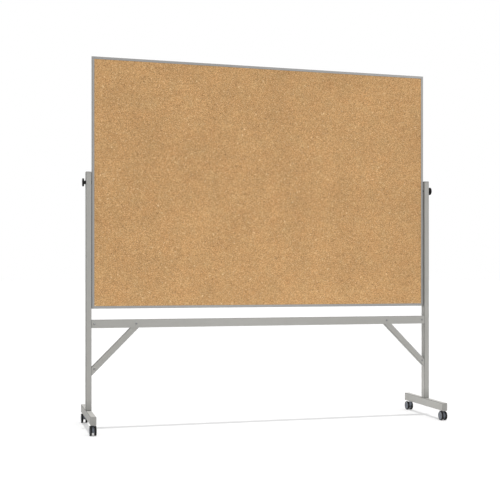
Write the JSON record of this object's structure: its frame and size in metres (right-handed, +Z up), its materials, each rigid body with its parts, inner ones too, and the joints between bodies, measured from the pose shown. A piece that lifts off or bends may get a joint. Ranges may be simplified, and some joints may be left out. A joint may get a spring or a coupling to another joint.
{
  "type": "cork bulletin board",
  "caption": "Double-sided cork board in a thin aluminium frame that turns over on a wheeled stand, with a hand knob on each post and twin-wheel swivel casters.",
  "frame": {"origin": "on the floor, under the middle of the board, halfway between the posts", "axes": "+X to the right along the board, +Y from the front to the back, +Z up"},
  "size_m": [1.8898, 0.4622, 1.85],
  "materials": {
    "silver_paint": "satin",
    "aluminium": "satin",
    "cork": "matte",
    "fibreboard": "matte",
    "grey_plastic": "satin",
    "black_plastic": "satin",
    "caster_plastic": "satin",
    "tyre": "matte",
    "steel": "satin"
  },
  "bodies": {
    "stand": {"left_post": "silver_paint", "left_post_cap": "grey_plastic", "right_post": "silver_paint", "right_post_cap": "grey_plastic", "crossbar": "silver_paint", "left_brace": "silver_paint", "left_foot": "silver_paint", "left_foot_front_cap": "grey_plastic", "left_foot_rear_cap": "grey_plastic", "left_crossbar_bolt": "steel", "left_brace_top_bolt": "steel", "left_brace_low_bolt": "steel", "right_brace": "silver_paint", "right_foot": "silver_paint", "right_foot_front_cap": "grey_plastic", "right_foot_rear_cap": "grey_plastic", "right_crossbar_bolt": "steel", "right_brace_top_bolt": "steel", "right_brace_low_bolt": "steel", "left_front_stem": "steel", "left_rear_stem": "steel", "right_front_stem": "steel", "right_rear_stem": "steel"},
    "panel": {"core_board": "fibreboard", "cork_front": "cork", "cork_back": "cork", "frame_top": "aluminium", "frame_bottom": "aluminium", "frame_left": "aluminium", "frame_right": "aluminium", "left_pivot_stud": "steel", "right_pivot_stud": "steel", "left_spacer": "black_plastic", "right_spacer": "black_plastic"},
    "left_knob": {"left_knob": "black_plastic"},
    "right_knob": {"right_knob": "black_plastic"},
    "left_front_caster": {"left_front_hood": "caster_plastic", "left_front_axle": "steel"},
    "left_front_outer_wheel": {"left_front_outer_hub": "caster_plastic", "left_front_outer_tyre": "tyre"},
    "left_front_inner_wheel": {"left_front_inner_hub": "caster_plastic", "left_front_inner_tyre": "tyre"},
    "left_rear_caster": {"left_rear_hood": "caster_plastic", "left_rear_axle": "steel"},
    "left_rear_outer_wheel": {"left_rear_outer_hub": "caster_plastic", "left_rear_outer_tyre": "tyre"},
    "left_rear_inner_wheel": {"left_rear_inner_hub": "caster_plastic", "left_rear_inner_tyre": "tyre"},
    "right_front_caster": {"right_front_hood": "caster_plastic", "right_front_axle": "steel"},
    "right_front_outer_wheel": {"right_front_outer_hub": "caster_plastic", "right_front_outer_tyre": "tyre"},
    "right_front_inner_wheel": {"right_front_inner_hub": "caster_plastic", "right_front_inner_tyre": "tyre"},
    "right_rear_caster": {"right_rear_hood": "caster_plastic", "right_rear_axle": "steel"},
    "right_rear_outer_wheel": {"right_rear_outer_hub": "caster_plastic", "right_rear_outer_tyre": "tyre"},
    "right_rear_inner_wheel": {"right_rear_inner_hub": "caster_plastic", "right_rear_inner_tyre": "tyre"}
  },
  "joints": [
    {"name": "panel_flip", "type": "hinge", "parent": "stand", "child": "panel", "pos_m": [0, 0, 1.2235], "axis": [1, 0, 0], "continuous": true},
    {"name": "left_knob_turn", "type": "hinge", "parent": "panel", "child": "left_knob", "pos_m": [-0.9283, 0, 1.2235], "axis": [-1, 0, 0], "range_deg": [0, 720]},
    {"name": "right_knob_turn", "type": "hinge", "parent": "panel", "child": "right_knob", "pos_m": [0.9283, 0, 1.2235], "axis": [1, 0, 0], "range_deg": [0, 720]},
    {"name": "left_front_swivel", "type": "hinge", "parent": "stand", "child": "left_front_caster", "pos_m": [-0.9145, -0.191, 0.052], "axis": [0, 0, 1], "continuous": true},
    {"name": "left_front_outer_roll", "type": "hinge", "parent": "left_front_caster", "child": "left_front_outer_wheel", "pos_m": [-0.9255, -0.2075, 0.0236], "axis": [1, 0, 0], "continuous": true},
    {"name": "left_front_inner_roll", "type": "hinge", "parent": "left_front_caster", "child": "left_front_inner_wheel", "pos_m": [-0.9035, -0.2075, 0.0236], "axis": [1, 0, 0], "continuous": true},
    {"name": "left_rear_swivel", "type": "hinge", "parent": "stand", "child": "left_rear_caster", "pos_m": [-0.9145, 0.191, 0.052], "axis": [0, 0, 1], "continuous": true},
    {"name": "left_rear_outer_roll", "type": "hinge", "parent": "left_rear_caster", "child": "left_rear_outer_wheel", "pos_m": [-0.9255, 0.2075, 0.0236], "axis": [1, 0, 0], "continuous": true},
    {"name": "left_rear_inner_roll", "type": "hinge", "parent": "left_rear_caster", "child": "left_rear_inner_wheel", "pos_m": [-0.9035, 0.2075, 0.0236], "axis": [1, 0, 0], "continuous": true},
    {"name": "right_front_swivel", "type": "hinge", "parent": "stand", "child": "right_front_caster", "pos_m": [0.9145, -0.191, 0.052], "axis": [0, 0, 1], "continuous": true},
    {"name": "right_front_outer_roll", "type": "hinge", "parent": "right_front_caster", "child": "right_front_outer_wheel", "pos_m": [0.9255, -0.2075, 0.0236], "axis": [1, 0, 0], "continuous": true},
    {"name": "right_front_inner_roll", "type": "hinge", "parent": "right_front_caster", "child": "right_front_inner_wheel", "pos_m": [0.9035, -0.2075, 0.0236], "axis": [1, 0, 0], "continuous": true},
    {"name": "right_rear_swivel", "type": "hinge", "parent": "stand", "child": "right_rear_caster", "pos_m": [0.9145, 0.191, 0.052], "axis": [0, 0, 1], "continuous": true},
    {"name": "right_rear_outer_roll", "type": "hinge", "parent": "right_rear_caster", "child": "right_rear_outer_wheel", "pos_m": [0.9255, 0.2075, 0.0236], "axis": [1, 0, 0], "continuous": true},
    {"name": "right_rear_inner_roll", "type": "hinge", "parent": "right_rear_caster", "child": "right_rear_inner_wheel", "pos_m": [0.9035, 0.2075, 0.0236], "axis": [1, 0, 0], "continuous": true}
  ]
}
